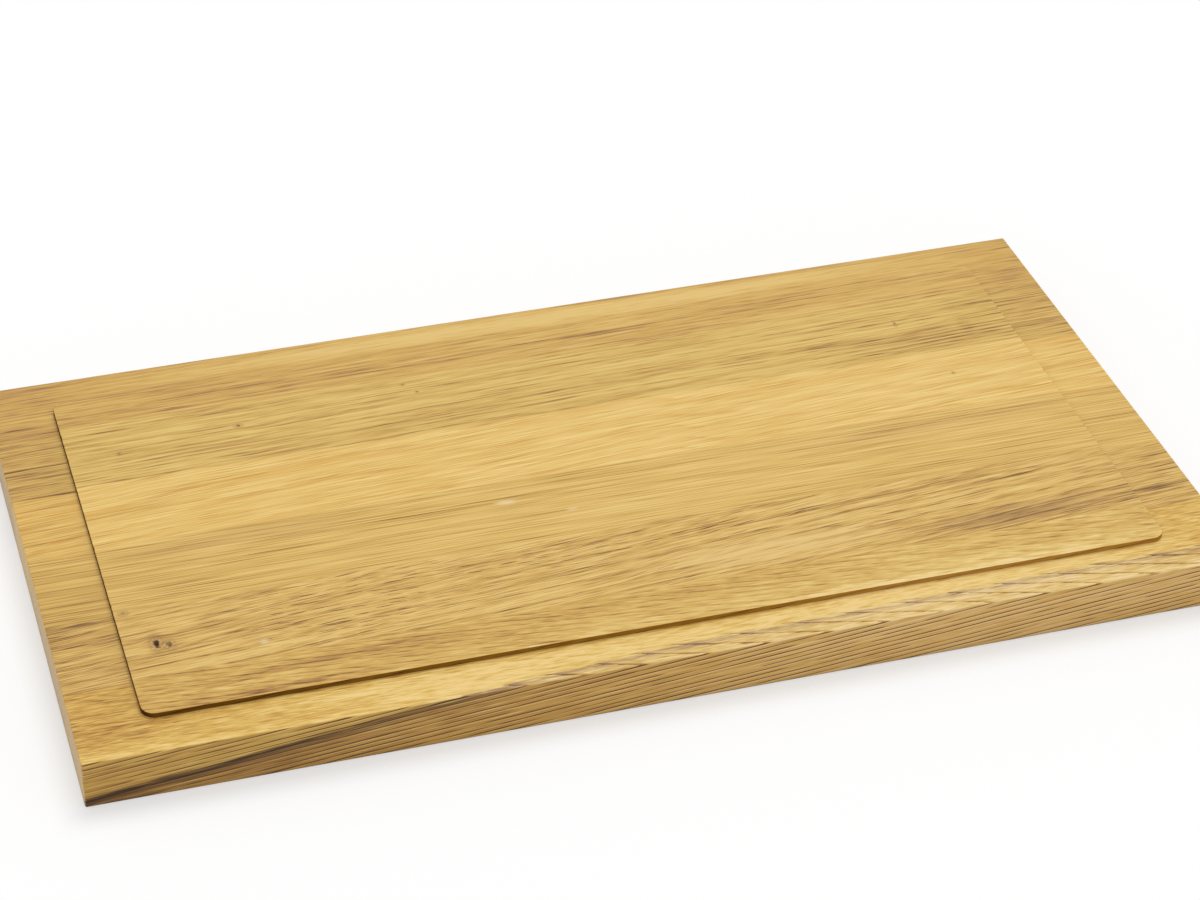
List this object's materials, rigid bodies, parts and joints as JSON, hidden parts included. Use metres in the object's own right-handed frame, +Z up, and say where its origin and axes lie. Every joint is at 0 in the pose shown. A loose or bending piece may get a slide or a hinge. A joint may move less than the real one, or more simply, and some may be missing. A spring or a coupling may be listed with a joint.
{
  "type": "serving board",
  "caption": "Oak serving board glued from full-length staves, with a raised platform milled into its top inside a lower rim.",
  "frame": {"origin": "centre of the underside, which is the face the board rests on", "axes": "+X along the grain, +Y from the front stave to the back stave, +Z up out of the platform"},
  "size_m": [0.5, 0.28, 0.024],
  "materials": {
    "oak_front_stave": "oiled, satin",
    "oak_inner_stave_1": "oiled, satin",
    "oak_inner_stave_2": "oiled, satin",
    "oak_inner_stave_3": "oiled, satin",
    "oak_inner_stave_4": "oiled, satin",
    "oak_back_stave": "oiled, satin"
  },
  "bodies": {
    "root": {"front_stave": "oak_front_stave", "inner_stave_1": "oak_inner_stave_1", "inner_stave_2": "oak_inner_stave_2", "inner_stave_3": "oak_inner_stave_3", "inner_stave_4": "oak_inner_stave_4", "back_stave": "oak_back_stave"}
  },
  "joints": []
}
